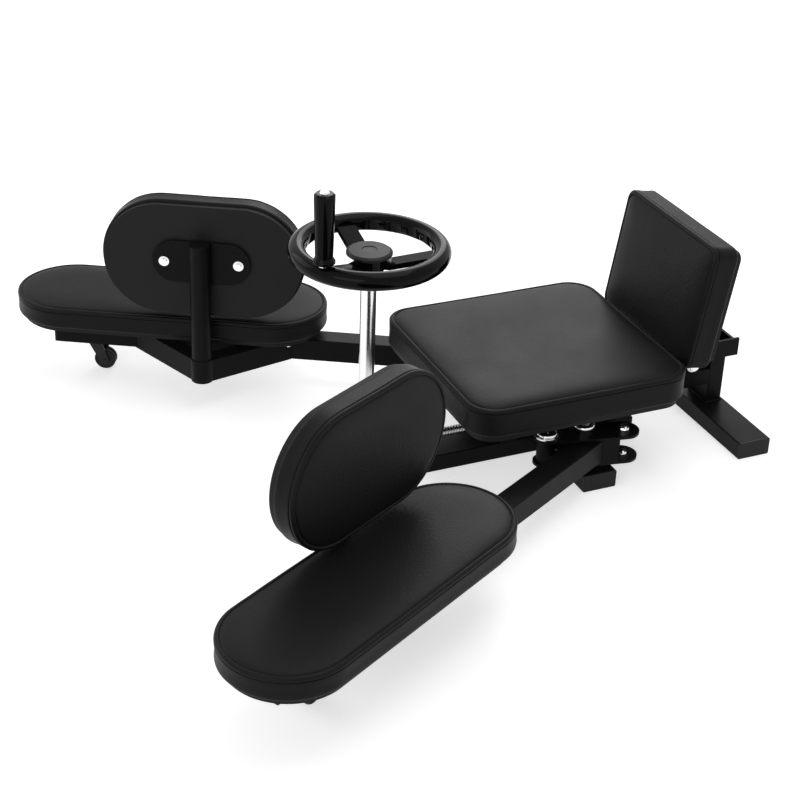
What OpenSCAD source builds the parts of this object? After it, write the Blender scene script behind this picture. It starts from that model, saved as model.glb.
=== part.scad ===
/* [Base frame] */
// Width of the flat steel tubes of the base
tube_w = 60; // [50:1:70]
// Height of the flat steel tubes of the base
tube_h = 30; // [26:1:34]
// Wall of all the steel tubes
tube_wall = 2.5; // [1.5:0.1:3]
// Length of the two cross feet
foot_len = 344; // [330:1:420]
// Distance from the pivot foot back to the rear foot
rear_foot_y = 296.5; // [285:1:330]
// Distance from the pivot foot back to the rear end of the beam
beam_rear = 140; // [138:1:160]
// Distance from the pivot foot forward to the front end of the beam
beam_front = 400; // [390:1:450]
// Thickness of the plate that shows of an end cap
cap_plate = 3; // [2:0.5:4]
// Length of an end cap's plug
cap_plug = 12; // [8:1:16]

/* [Seat] */
// Width of the seat cushion
seat_w = 381; // [360:1:400]
// Depth of the seat cushion
seat_d = 388; // [370:1:392]
// Front edge of the seat, ahead of the pivot foot
seat_front = 237; // [225:1:240]
// Thickness of the seat cushion
seat_t = 47; // [40:1:55]
// Height of the top of the seat board
seat_board_z = 146; // [142:1:156]
// Corner radius of the seat cushion
seat_r = 46; // [35:1:60]
// Thickness of the plywood seat and backrest boards
board_t = 12; // [9:1:15]
// How far the boards stay inside their cushions
board_inset = 9; // [6:1:14]

/* [Backrest] */
// Width of the backrest cushion
back_w = 281; // [260:1:320]
// Height of the backrest cushion along its face
back_h = 214; // [190:1:230]
// Thickness of the backrest cushion
back_t = 44; // [36:1:50]
// Corner radius of the backrest cushion
back_r = 18; // [12:1:30]
// Lean of the backrest from upright, in degrees
back_lean = 9; // [5:1:15]
// Height of the recline bolt
hinge_z = 114; // [112:1:120]
// Distance of the recline bolt behind the pivot foot
hinge_y = 248; // [246:1:254]
// Width between the side plates of the backrest bracket
bracket_gap = 62; // [60:1:70]
// Length of the backrest bracket behind its bolt
bracket_len = 90; // [84:1:96]
// Height of the top edge of the backrest bracket
bracket_top = 150; // [146:1:154]
// Thickness of the bracket and fork plates
plate_t = 5; // [4:0.5:6]

/* [Leg arms] */
// Opening of each arm from straight ahead, in degrees
arm_open = 29.3; // [24:0.1:34]
// Distance of an arm pivot from the centre plane
pivot_x = 134; // [130:1:138]
// Distance of the arm pivots ahead of the pivot foot's centre
pivot_front = 15; // [12:1:15]
// Width of the arm tube
arm_w = 40; // [36:1:44]
// Height of the arm tube
arm_h = 40; // [36:1:44]
// Height of the underside of the arm tube
arm_z = 54; // [52:1:60]
// Offset of the arm tube's centre line outward from the pivot
arm_off = 25; // [23:1:30]
// Distance from the pivot to the front end of the arm tube
arm_len = 805; // [790:1:840]
// Distance from the pivot to the rear end of the arm tube
arm_start = 12; // [10:1:16]
// Angle between the fork plates and the arm tube, in degrees
fork_angle = 40.3; // [38:0.1:42]
// Half the width of the fork plates
fork_half = 25; // [22:1:27]
// Distance from the pivot forward along the fork to the link bolt
crank_front = 68; // [66:1:72]
// Distance from the pivot back along the fork to the rear fork bolt
crank_rear = 62; // [58:1:70]
// Offset of the fork's centre line outward from the pivot
fork_off = 18; // [16:1:20]
// Radius of the pivot barrel
barrel_r = 15; // [13.5:0.5:15]
// Radius of the pivot bolt
pivot_r = 8; // [7:0.5:9]
// Radius of the link bolt
link_bolt_r = 6; // [5:0.5:7]

/* [Leg pads] */
// Length of a leg cushion
pad_len = 548; // [520:1:580]
// Width of a leg cushion
pad_w = 192; // [175:1:210]
// Thickness of a leg cushion
pad_t = 36; // [30:1:45]
// Thickness of a leg board
pad_board_t = 10; // [9:1:12]
// Thickness of the flat bars between an arm and its leg board
riser_t = 10; // [8:1:12]
// Length of those flat bars
riser_len = 120; // [100:2:140]
// Width of those flat bars
riser_w = 40; // [30:1:46]
// Distance of the inner flat bar from the inner end of the leg pad
riser_in = 61; // [50:1:80]
// Distance of the outer flat bar from the outer end of the leg pad
riser_out = 94; // [80:1:110]
// Distance from the pivot to the middle of a leg cushion
pad_mid = 600; // [580:1:620]
// Offset of a leg cushion's centre line outward from the pivot
pad_off = 36; // [34:1:44]

/* [Side pads] */
// Length of a side cushion
side_len = 344; // [320:1:360]
// Height of a side cushion
side_h = 206; // [190:1:212]
// Thickness of a side cushion
side_t = 34; // [28:1:40]
// Thickness of a side board
side_board_t = 10; // [8:1:12]
// Height of the middle of a side cushion
side_z = 266; // [262:1:275]
// Distance from the pivot to the middle of a side cushion
side_mid = 523; // [510:1:540]
// Outer face of the side cushion, inward from the leg cushion's centre line
side_in = 64; // [60:1:70]
// Radius of the round post
post_r = 17; // [15:0.5:19]
// How deep the post is let into its plate
post_bite = 1.5; // [1:0.5:2.5]
// Length of the stadium plate on the post
post_plate_len = 166; // [150:1:180]
// Height of the stadium plate on the post
post_plate_h = 75; // [65:1:85]
// Distance between the two bolts of a side pad
side_bolt_gap = 126; // [110:1:130]
// Half the length of the bent frame where it meets the arm
frame_half = 116; // [100:1:125]
// Width of the bent frame's tube
frame_w = 30; // [24:1:34]

/* [Casters] */
// Radius of a caster wheel
caster_r = 19; // [17:0.5:20]
// Width of a caster wheel
caster_w = 20; // [16:0.5:22]
// Distance from the swivel axis back to the axle
caster_trail = 15; // [10:1:18]
// Distance from the pivot to the caster's swivel axis
caster_mid = 738; // [725:1:760]
// Radius of the caster axle
axle_r = 3; // [2.5:0.25:4]

/* [Drive] */
// Distance of the handwheel shaft ahead of the pivot foot
shaft_front = 342; // [338:1:346]
// Radius of the handwheel shaft
shaft_r = 12.5; // [11:0.5:14]
// Height of the lead screw's axis
screw_z = 54; // [52:1:56]
// Radius of the lead screw
screw_r = 8; // [7:0.5:9]
// Radius of a bevel gear at its pitch circle
gear_r = 19; // [17:0.5:20]
// Height of a gear tooth above the pitch circle
gear_add = 1.2; // [0.8:0.1:1.3]
// Radius of the round gaps between the teeth
gear_gap = 2.85; // [2.7:0.05:3]
// Teeth on each bevel gear
gear_teeth = 16; // [12:1:20]
// Face width of a bevel gear along its cone
gear_face = 9; // [7:0.5:10]
// Width of the gearbox across the beam
box_w = 66; // [62:1:72]
// Length of the gearbox along the beam
box_l = 84; // [80:1:92]
// Height of the gearbox above the beam
box_h = 78; // [76:1:88]
// Wall of the gearbox
box_wall = 5; // [4:0.5:6]
// Floor of the gearbox
box_floor = 3; // [2.5:0.5:3.5]
// Length of a link between its two pins
link_len = 154; // [150:1:156]
// Angle of a link from straight back, in degrees
link_angle = 40.8; // [40:0.2:42]
// Distance of the nut carriage behind the pivot foot at rest
nut_y = 32.5; // [30:0.5:35]
// Distance of a carriage pin from the centre plane
nut_pin_x = 40; // [38:0.5:42]
// Radius of a carriage pin
nut_pin_r = 5; // [4:0.5:6]
// Radial room in the link's eye round the carriage pin
eye_room = 4; // [3.5:0.1:5]
// Width of a link bar
link_w = 17; // [14:1:17]
// Height of a link bar
link_h = 16; // [12:1:18]

/* [Handwheel] */
// Radius of the handwheel to the middle of its rim
wheel_r = 111; // [100:1:125]
// Radius of the rim's section
rim_r = 14.5; // [12:0.5:16]
// Height of the middle of the rim
wheel_z = 403; // [395:1:430]
// Number of finger scallops round the rim
scallops = 16; // [12:1:24]
// Radius of a finger scallop
scallop_r = 28; // [20:1:34]
// Depth of a finger scallop
scallop_bite = 3.5; // [2:0.5:5]
// How far the scallops lie below the inner side of the rim, in degrees
scallop_dip = 10; // [0:1:30]
// Number of spokes
spokes = 3; // [3:1:4]
// Direction of the handle and its spoke, in degrees
handle_angle = -60; // [-90:5:90]
// Width of a spoke
spoke_w = 30; // [24:1:36]
// Thickness of a spoke
spoke_t = 9; // [7:0.5:12]
// Drop of the hub below the middle of the rim
hub_drop = 20; // [14:1:26]
// Radius of the hub cap
cap_r = 36; // [28:1:38]
// Length of the spinner handle
handle_len = 111; // [95:1:120]
// Radius of the handle at its foot
handle_r1 = 13.5; // [11:0.5:15]
// Radius of the handle at its top
handle_r2 = 16; // [13:0.5:18]

/* [Fits] */
// Running clearance of a shaft or pin in its bore, on the radius
run_fit = 0.06; // [0.02:0.01:0.1]
// Gap between flat faces that slide past each other
slide_gap = 0.3; // [0.2:0.05:0.5]
// Clearance of a push-in cap's plug
plug_gap = 0.25; // [0.1:0.05:0.5]

/* [Hidden] */
$fn = 48;

steel_black = "#1b1b1d";
vinyl_black = "#151516";
plastic_black = "#202023";
chrome = "silver";
raw_steel = "#8a8d90";
bronze = "#b08d57";
ply = "#2a2622";

// Heights of the arm and what it carries
arm_top = arm_z + arm_h;
fork_top = arm_top + plate_t;
pad_board_z = arm_top + riser_t;
pad_z = pad_board_z + pad_board_t;
side_back = pad_off - side_in - side_t;
side_board_back = side_back - side_board_t;
post_x = side_board_back - plate_t - post_r + post_bite;
post_top = side_z + post_plate_h / 2 + 3;
riser_clear = frame_half + riser_w / 2;
riser_bolt = riser_len / 2 - 15;
pad_plates = [
    min(pad_mid - pad_len / 2 + riser_in, side_mid - riser_clear),
    pad_mid + pad_len / 2 - riser_out
];

// Heights under the seat
support_bar = 18;
support_top = seat_board_z - board_t;
leg_plate = 6;
support_deep = 30;
support_front_y = -95;
support_rear_y = 123;
support_half = 140;
seat_bolt_x = 78;

// Places along the screw
gear_cone = gear_r * sqrt(2);
box_front = -shaft_front - box_l / 2 + 6;
box_back = box_front + box_l;
box_top = tube_h + box_h;
boss_h = 18;
bearing_y = 90;
bearing_len = 20;
nut_half = 22;
block_w = 32;
block_top = screw_z + 38;
ear_t = 6;
ear_half = 14;
ear_low = screw_z + 2;
ear_reach = 15;
eye_r = nut_pin_r + eye_room + 7;
link_z = arm_z + arm_h / 2;

bolt_head_r = 8;
bolt_head_h = 6;
washer_t = 2.5;
chamfer = 1.2;

// A flat bar or tube section with small bevels along its edges
module box_section(w, h, len, wall = 0) {
    difference() {
        rotate([90, 0, 0])
            linear_extrude(len)
                difference() {
                    bevelled(w, h, chamfer);
                    if (wall > 0)
                        square([w - 2 * wall, h - 2 * wall], center = true);
                }
    }
}

module bevelled(w, h, c) {
    polygon([
        [-w / 2 + c, -h / 2], [w / 2 - c, -h / 2], [w / 2, -h / 2 + c],
        [w / 2, h / 2 - c], [w / 2 - c, h / 2], [-w / 2 + c, h / 2],
        [-w / 2, h / 2 - c], [-w / 2, -h / 2 + c]
    ]);
}

// A stadium outline, length along X
module stadium(len, h) {
    r = h / 2;
    union() {
        square([len - h, h], center = true);
        for (s = [-1, 1])
            translate([s * (len / 2 - r), 0])
                circle(r, $fn = 64);
    }
}

// A rounded rectangle as a union of true arcs
module rounded(w, h, r) {
    union() {
        square([w - 2 * r, h], center = true);
        square([w, h - 2 * r], center = true);
        for (sx = [-1, 1], sy = [-1, 1])
            translate([sx * (w / 2 - r), sy * (h / 2 - r)])
                circle(r);
    }
}

// Points of a rounded outline, pulled in by an amount, at one height
corner_steps = 8;
function arc_points(cx, cy, r, a0, z) = [
    for (i = [0:corner_steps])
        let (a = a0 + 90 * i / corner_steps)
            [cx + r * cos(a), cy + r * sin(a), z]
];
function ring(hx, hy, r, pull, z) =
    let (k = max(r - pull, 2), x = hx - pull - k, y = hy - pull - k)
        concat(
            arc_points(x, y, k, 0, z), arc_points(-x, y, k, 90, z),
            arc_points(-x, -y, k, 180, z), arc_points(x, -y, k, 270, z)
        );

// Side and crown of a cushion: how far each ring is pulled in, and its
// height as a share of the thickness. The seam lies under the top edge.
seam_share = 0.76;
function cushion_rings(t, crown) = [
    [2.2, 0], [0.7, 0.06], [0, 0.2], [0.5, 0.46], [0, 0.66],
    [0.2, seam_share - 0.035], [1.8, seam_share], [0.2, seam_share + 0.035],
    [1.2, 0.9], [4.2, 0.975], [9, 1], [22, 1 + 0.45 * crown / t],
    [46, 1 + crown / t]
];

// A padded cushion on the XY plane, its crown upward
module cushion(w, d, t, r, crown = 4) {
    rows = cushion_rings(t, crown);
    n = 4 * (corner_steps + 1);
    pts = [
        for (row = rows)
            each ring(w / 2, d / 2, r, row[0], t * row[1])
    ];
    last = len(rows) - 1;
    sides = [
        for (j = [0:last - 1], i = [0:n - 1])
            let (a = j * n + i, b = j * n + (i + 1) % n)
                each [[a, a + n, b], [b, a + n, b + n]]
    ];
    bottom = [for (i = [0:n - 1]) i];
    top = [for (i = [n - 1:-1:0]) last * n + i];
    polyhedron(points = pts, faces = concat(sides, [bottom], [top]));
}

// A hexagon bolt head or nut with its washer, seated on z = 0
module hex_head(r = bolt_head_r, h = bolt_head_h, washer = 1.35) {
    cylinder(h = washer_t, r = r * washer);
    translate([0, 0, washer_t])
        intersection() {
            cylinder(h = h, r = r, $fn = 6);
            cylinder(h = h, r1 = r * 1.02, r2 = r * 0.9);
        }
}

// Places on the machine
module on_arm(side) {
    mirror([side < 0 ? 1 : 0, 0, 0])
        translate([pivot_x, -pivot_front, 0])
            rotate([0, 0, arm_open])
                children();
}

module on_fork(side) {
    on_arm(side)
        rotate([0, 0, -fork_angle])
            children();
}

// The base
module main_beam() {
    color(steel_black)
        translate([0, beam_rear, tube_h / 2])
            box_section(tube_w, tube_h, beam_rear + beam_front, tube_wall);
}

module cross_tube(len) {
    rotate([0, 0, 90])
        translate([0, len / 2, tube_h / 2])
            box_section(tube_w, tube_h, len, tube_wall);
}

boss_r = pivot_front;
module pivot_foot() {
    color(steel_black)
        difference() {
            union() {
                for (s = [-1, 1])
                    translate([s * (foot_len / 4 + tube_w / 4), 0, 0])
                        cross_tube(foot_len / 2 - tube_w / 2);
                for (s = [-1, 1])
                    translate([s * pivot_x, -pivot_front, tube_h - tube_wall])
                        cylinder(h = arm_z - plate_t - slide_gap - tube_h + tube_wall,
                            r = boss_r);
            }
            for (s = [-1, 1])
                translate([s * pivot_x, -pivot_front, -1])
                    cylinder(h = arm_z, r = pivot_r + run_fit);
        }
}

module rear_foot() {
    color(steel_black)
        translate([0, rear_foot_y, 0])
            cross_tube(foot_len);
}

// A cap that closes a tube's end: plate outside, plug inside, facing +X
module tube_cap(w, h) {
    translate([cap_plate / 2, 0, 0])
        rotate([90, 0, 90])
            translate([0, 0, -cap_plate / 2])
                linear_extrude(cap_plate)
                    rounded(w, h, 2.5);
    translate([-cap_plug, 0, 0])
        rotate([90, 0, 90])
            linear_extrude(cap_plug)
                square([w - 2 * (tube_wall + plug_gap),
                    h - 2 * (tube_wall + plug_gap)], center = true);
}

module base_end_caps() {
    color(plastic_black) {
        for (s = [-1, 1], y = [0, rear_foot_y])
            translate([s * foot_len / 2, y, tube_h / 2])
                rotate([0, 0, s < 0 ? 180 : 0])
                    tube_cap(tube_w, tube_h);
        translate([0, -beam_front, tube_h / 2])
            rotate([0, 0, -90])
                tube_cap(tube_w, tube_h);
        translate([0, beam_rear, tube_h / 2])
            rotate([0, 0, 90])
                tube_cap(tube_w, tube_h);
    }
}

// The rear post and the bracket that carries the backrest
post_deep = 30;
post_front = hinge_y + bracket_len / 2 - 4;
bracket_floor = hinge_z + 4;
rail_top = hinge_z - 18;
floor_from = 32;
lug_r = 17;
module rear_post() {
    color(steel_black)
        translate([0, post_front + post_deep / 2, tube_h])
            linear_extrude(bracket_floor - tube_h)
                difference() {
                    bevelled(tube_w, post_deep, chamfer);
                    square([tube_w - 2 * tube_wall, post_deep - 2 * tube_wall],
                        center = true);
                }
}

module bracket_side() {
    linear_extrude(plate_t)
        difference() {
            union() {
                translate([hinge_y, hinge_z])
                    circle(lug_r);
                polygon([
                    [hinge_y, hinge_z - lug_r],
                    [hinge_y + floor_from, bracket_floor],
                    [hinge_y + bracket_len, bracket_floor],
                    [hinge_y + bracket_len, bracket_top],
                    [hinge_y + 30, bracket_top],
                    [hinge_y - lug_r * 0.7071, hinge_z + lug_r * 0.7071]
                ]);
            }
            translate([hinge_y, hinge_z])
                circle(recline_r + run_fit);
        }
}

recline_r = 6;
module backrest_bracket() {
    color(steel_black) {
        for (x = [bracket_gap / 2, -bracket_gap / 2 - plate_t])
            translate([x, 0, 0])
                rotate([90, 0, 90])
                    bracket_side();
        translate([-bracket_gap / 2, hinge_y + floor_from, bracket_floor])
            cube([bracket_gap, bracket_len - floor_from, plate_t]);
        translate([-bracket_gap / 2, hinge_y + bracket_len - 6 - plate_t, bracket_floor])
            cube([bracket_gap, plate_t, bracket_top - bracket_floor - 2]);
    }
}

module recline_bolt() {
    reach = bracket_gap / 2 + plate_t;
    color(chrome)
        translate([0, hinge_y, hinge_z])
            rotate([0, 90, 0]) {
                translate([0, 0, -reach - washer_t])
                    cylinder(h = 2 * reach + 2 * washer_t, r = recline_r);
                translate([0, 0, reach])
                    hex_head(9, 6);
                mirror([0, 0, 1])
                    translate([0, 0, reach])
                        hex_head(9, 8);
            }
}

// The backrest, drawn upright at the recline bolt and then leaned
back_face = 92;
strut_w = 50;
strut_deep = 24;
strut_from = 20;
back_low = 40;
back_board_back = back_face - back_t - board_t;
back_screw_from = back_low + 50;
back_screw_gap = 60;
strut_front = back_board_back;
ear_plate = 5.2;
module on_back() {
    translate([0, hinge_y, hinge_z])
        rotate([-back_lean, 0, 0])
            children();
}

module backrest_strut() {
    ear_x = strut_w / 2;
    color(steel_black)
        on_back() {
            translate([0, -strut_front + strut_deep / 2, strut_from])
                linear_extrude(back_low + back_h * 0.72 - strut_from)
                    difference() {
                        bevelled(strut_w, strut_deep, chamfer);
                        square([strut_w - 2 * tube_wall, strut_deep - 2 * tube_wall],
                            center = true);
                    }
            for (x = [ear_x, -ear_x - ear_plate])
                translate([x, 0, 0])
                    rotate([90, 0, 90])
                        linear_extrude(ear_plate)
                            difference() {
                                union() {
                                    circle(12);
                                    polygon([
                                        [-8.5, -8.5], [-strut_front, strut_from - 4],
                                        [-strut_front, strut_from + 46],
                                        [-strut_front + strut_deep, strut_from + 46],
                                        [8.5, 8.5]
                                    ]);
                                }
                                circle(recline_r + run_fit);
                            }
        }
}

module backrest_board() {
    color(ply)
        on_back()
            translate([0, -back_board_back, back_low + back_h / 2])
                rotate([90, 0, 0])
                    linear_extrude(board_t)
                        rounded(back_w - 2 * board_inset, back_h - 2 * board_inset,
                            back_r - board_inset / 2);
}

module backrest_cushion() {
    color(vinyl_black)
        on_back()
            translate([0, -back_board_back - board_t, back_low + back_h / 2])
                rotate([90, 0, 0])
                    cushion(back_w, back_h, back_t, back_r);
}

module backrest_screws() {
    color(chrome)
        on_back()
            for (z = [back_screw_from, back_screw_from + back_screw_gap])
                translate([0, -strut_front + strut_deep, z])
                    rotate([-90, 0, 0])
                        hex_head(6, 4);
}

// The seat and what holds it
module seat_support(y) {
    leg_h = support_top - support_bar - tube_h;
    color(steel_black)
        translate([0, y, 0]) {
            for (s = [-1, 1])
                translate([s * (tube_w / 2 - leg_plate / 2), 0, tube_h + leg_h / 2])
                    cube([leg_plate, support_deep, leg_h], center = true);
            translate([support_half, 0, support_top - support_bar / 2])
                rotate([0, 0, -90])
                    box_section(support_deep, support_bar, 2 * support_half, tube_wall);
        }
}

module seat_supports() {
    seat_support(support_front_y);
    seat_support(support_rear_y);
}

// The raised tube from the rear seat support to the rear post
module seat_rail() {
    start = support_rear_y + support_deep / 2;
    color(steel_black)
        translate([0, post_front, rail_top - tube_h / 2])
            box_section(tube_w, tube_h, post_front - start, tube_wall);
}

module seat_board() {
    color(ply)
        translate([0, seat_d / 2 - seat_front, support_top])
            linear_extrude(board_t)
                rounded(seat_w - 2 * board_inset, seat_d - 2 * board_inset,
                    seat_r - board_inset);
}

module seat_cushion() {
    color(vinyl_black)
        translate([0, seat_d / 2 - seat_front, seat_board_z])
            cushion(seat_w, seat_d, seat_t, seat_r, 5);
}

module seat_bolts() {
    color(chrome)
        for (y = [support_front_y, support_rear_y], s = [-1, 1])
            translate([s * seat_bolt_x, y, support_top - support_bar])
                mirror([0, 0, 1])
                    hex_head(6.5, 4.5);
}

// The gearbox under the handwheel shaft
module on_shaft() {
    translate([0, -shaft_front, 0])
        children();
}

module gearbox_housing() {
    color(steel_black)
        difference() {
            union() {
                translate([0, (box_front + box_back) / 2, tube_h])
                    linear_extrude(box_h)
                        rounded(box_w, box_l, 6);
                on_shaft()
                    translate([0, 0, box_top])
                        cylinder(h = boss_h, r = shaft_r + 9);
                translate([0, box_back, screw_z])
                    rotate([-90, 0, 0])
                        cylinder(h = 6, r = screw_r + 10);
            }
            translate([-box_w / 2 + box_wall, box_front - 1, tube_h + box_floor])
                cube([box_w - 2 * box_wall, box_l - box_wall + 1,
                    box_h - box_wall - box_floor]);
            on_shaft()
                translate([0, 0, box_top - box_wall - 1])
                    cylinder(h = boss_h + box_wall + 2, r = shaft_r + 3.5);
            translate([0, box_back - box_wall - 1, screw_z])
                rotate([-90, 0, 0])
                    cylinder(h = box_wall + 8, r = screw_r + 3.5);
        }
}

module gearbox_cover() {
    color(steel_black)
        difference() {
            translate([0, box_front, tube_h + box_h / 2])
                rotate([90, 0, 0])
                    linear_extrude(4)
                        rounded(box_w, box_h - 1, 6);
            for (sx = [-1, 1], sz = [-1, 1])
                translate([sx * (box_w / 2 - 7), box_front + 1,
                    tube_h + box_h / 2 + sz * (box_h / 2 - 8)])
                    rotate([90, 0, 0])
                        cylinder(h = 6, r = 2.6);
        }
}

module gearbox_screws() {
    color(chrome)
        for (sx = [-1, 1], sz = [-1, 1])
            translate([sx * (box_w / 2 - 7), box_front - 4,
                tube_h + box_h / 2 + sz * (box_h / 2 - 8)])
                rotate([90, 0, 0]) {
                    cylinder(h = 3, r1 = 4.5, r2 = 3.6);
                    translate([0, 0, -4])
                        cylinder(h = 4, r = 2.5);
                }
}

// Plain bushes in the gearbox, and the block that holds the screw's end
module drive_bushes() {
    color(bronze) {
        on_shaft()
            translate([0, 0, box_top - box_wall])
                difference() {
                    cylinder(h = boss_h + box_wall, r = shaft_r + 3.5);
                    translate([0, 0, -1])
                        cylinder(h = boss_h + box_wall + 2, r = shaft_r + run_fit);
                }
        translate([0, box_back - box_wall, screw_z])
            rotate([-90, 0, 0])
                difference() {
                    cylinder(h = box_wall + 6, r = screw_r + 3.5);
                    translate([0, 0, -1])
                        cylinder(h = box_wall + 8, r = screw_r + run_fit);
                }
    }
}

// The block at the rear end of the screw
module rear_bearing() {
    color(steel_black)
        translate([0, bearing_y, 0])
            difference() {
                translate([-20, 0, tube_h])
                    cube([40, bearing_len, screw_z + 18 - tube_h]);
                translate([0, -1, screw_z])
                    rotate([-90, 0, 0])
                        cylinder(h = bearing_len + 2, r = screw_r - 1 + run_fit);
            }
}

// A bevel gear with its apex at the origin and its teeth above it
gear_hub = 12;
gear_deep = gear_r - gear_add * sqrt(0.5) + gear_hub;
module bevel_gear(bore) {
    inner = gear_cone - gear_face;
    share = inner / gear_cone;
    out_r = gear_r + gear_add * sqrt(0.5);
    out_z = gear_r - gear_add * sqrt(0.5);
    difference() {
        rotate_extrude($fn = 96)
            polygon([
                [bore, out_z * share + 1], [out_r * share - 3, out_z * share + 1],
                [out_r * share, out_z * share], [out_r, out_z],
                [out_r - 4.5, out_z + 4.5], [bore + 5, out_z + 4.5],
                [bore + 5, gear_deep], [bore, gear_deep]
            ]);
        for (i = [0:gear_teeth - 1])
            rotate([0, 0, i * 360 / gear_teeth])
                rotate([0, 45 + atan(gear_add / gear_cone), 0])
                    translate([0, 0, inner - 4])
                        cylinder(h = gear_face + 9, r1 = gear_gap * (inner - 4) / gear_cone,
                            r2 = gear_gap * (inner + gear_face + 5) / gear_cone, $fn = 24);
    }
}

shaft_end_r = 8;
hub_r = 24;
hub_h = 20;
module shaft_bevel_gear() {
    color(raw_steel)
        on_shaft()
            translate([0, 0, screw_z])
                bevel_gear(shaft_end_r);
}

module screw_bevel_gear() {
    color(raw_steel)
        on_shaft()
            translate([0, 0, screw_z])
                rotate([-90, 0, 0])
                    rotate([0, 0, 180 / gear_teeth])
                        bevel_gear(screw_r - 1);
}

module wheel_shaft() {
    shoulder = wheel_z - hub_drop - hub_h / 2;
    color(chrome)
        on_shaft() {
            translate([0, 0, screw_z + gear_hub])
                cylinder(h = shoulder + hub_h - 2 - screw_z - gear_hub, r = shaft_end_r);
            translate([0, 0, screw_z + gear_deep])
                cylinder(h = shoulder - gear_deep - screw_z, r = shaft_r);
        }
}

module lead_screw() {
    start = -shaft_front + gear_hub;
    thread_start = -shaft_front + gear_deep;
    color(raw_steel)
        translate([0, 0, screw_z])
            rotate([-90, 0, 0]) {
                translate([0, 0, start])
                    cylinder(h = bearing_y + bearing_len + 6 - start, r = screw_r - 1);
                translate([0, 0, thread_start])
                    cylinder(h = bearing_y - slide_gap - thread_start, r = screw_r);
            }
}

// The carriage that the screw drives along the beam
module nut_carriage() {
    color(steel_black)
        translate([0, nut_y, 0]) {
            difference() {
                union() {
                    translate([-block_w / 2, -nut_half, tube_h + slide_gap])
                        cube([block_w, 2 * nut_half, block_top - tube_h - slide_gap]);
                    for (s = [-1, 1], z = [ear_low, block_top - ear_t])
                        translate([0, 0, z])
                            linear_extrude(ear_t)
                                union() {
                                    translate([s > 0 ? 0 : -nut_pin_x, -ear_half])
                                        square([nut_pin_x, 2 * ear_half]);
                                    translate([s * nut_pin_x, 0])
                                        circle(ear_half);
                                }
                    for (s = [-1, 1])
                        translate([s * nut_pin_x, 0, ear_low])
                            cylinder(h = block_top - ear_low, r = nut_pin_r);
                }
                translate([0, -nut_half - 1, screw_z])
                    rotate([-90, 0, 0])
                        cylinder(h = 2 * nut_half + 2, r = screw_r + 4);
            }
        }
}

module lead_nut() {
    color(bronze)
        translate([0, nut_y - nut_half - 4, screw_z])
            rotate([-90, 0, 0])
                difference() {
                    union() {
                        cylinder(h = 2 * nut_half + 4, r = screw_r + 4);
                        cylinder(h = 4, r = screw_r + 8);
                    }
                    translate([0, 0, -1])
                        cylinder(h = 2 * nut_half + 6, r = screw_r + run_fit);
                }
}

// A link from the fork bolt to the carriage pin
module link(side) {
    color(steel_black)
        mirror([side < 0 ? 1 : 0, 0, 0])
            translate([pivot_x, -pivot_front, 0])
                rotate([0, 0, arm_open - fork_angle])
                    translate([fork_off, -crank_front, 0])
                        rotate([0, 0, link_angle - arm_open + fork_angle])
                            difference() {
                                union() {
                                    translate([0, 0, arm_z + slide_gap])
                                        cylinder(h = arm_h - 2 * slide_gap, r = 15);
                                    translate([-link_w / 2, 0, link_z - link_h / 2])
                                        cube([link_w, link_len, link_h]);
                                    translate([0, link_len, link_z - link_h / 2])
                                        cylinder(h = link_h, r = eye_r);
                                }
                                translate([0, 0, arm_z - 1])
                                    cylinder(h = arm_h + 2, r = link_bolt_r + run_fit);
                                translate([0, link_len, arm_z - 1])
                                    cylinder(h = arm_h + 2, r = nut_pin_r + eye_room);
                            }
}

// The fork at the inner end of an arm: two plates, a barrel and a web
module fork_plate() {
    linear_extrude(plate_t)
        difference() {
            union() {
                circle(fork_half - 5);
                translate([fork_off, -crank_front])
                    circle(20);
                translate([fork_off, crank_rear])
                    circle(fork_half);
                polygon([
                    [fork_off - fork_half, -crank_front / 2],
                    [fork_off - 19.5, -crank_front - 4],
                    [fork_off + 19.5, -crank_front - 4],
                    [fork_off + fork_half, -crank_front / 2],
                    [fork_off + fork_half, crank_rear],
                    [fork_off - fork_half, crank_rear]
                ]);
            }
            circle(pivot_r + run_fit);
            translate([fork_off, -crank_front])
                circle(link_bolt_r);
            translate([fork_off, crank_rear])
                circle(5);
        }
}

module arm_foot_print(extra = 0) {
    rotate([0, 0, fork_angle])
        translate([arm_off - arm_w / 2, -arm_len])
            square([arm_w, arm_len - arm_start + extra]);
}

module arm_fork(side) {
    color(steel_black)
        on_fork(side) {
            difference() {
                union() {
                    translate([0, 0, arm_z])
                        cylinder(h = arm_h, r = barrel_r);
                    translate([0, 0, arm_z])
                        linear_extrude(arm_h)
                            difference() {
                                translate([fork_off - fork_half + 20, 0])
                                    square([2 * fork_half - 20, crank_rear - 14]);
                                arm_foot_print();
                            }
                }
                translate([0, 0, arm_z - 1])
                    cylinder(h = arm_h + 2, r = pivot_r + run_fit);
            }
            for (z = [arm_z - plate_t, arm_top])
                translate([0, 0, z])
                    fork_plate();
        }
}

module arm_tube(side) {
    color(steel_black)
        on_arm(side)
            difference() {
                translate([arm_off, -arm_start, arm_z + arm_h / 2])
                    box_section(arm_w, arm_h, arm_len - arm_start, tube_wall);
                translate([0, 0, arm_z - 1])
                    cylinder(h = arm_h + 2, r = barrel_r);
                translate([arm_off, -caster_mid, arm_z - 1])
                    cylinder(h = tube_wall + 2, r = stem_r + run_fit);
            }
}

module arm_caps(side) {
    color(plastic_black)
        on_arm(side)
            translate([arm_off, -arm_len, arm_z + arm_h / 2])
                rotate([0, 0, -90])
                    tube_cap(arm_w, arm_h);
}

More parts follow.
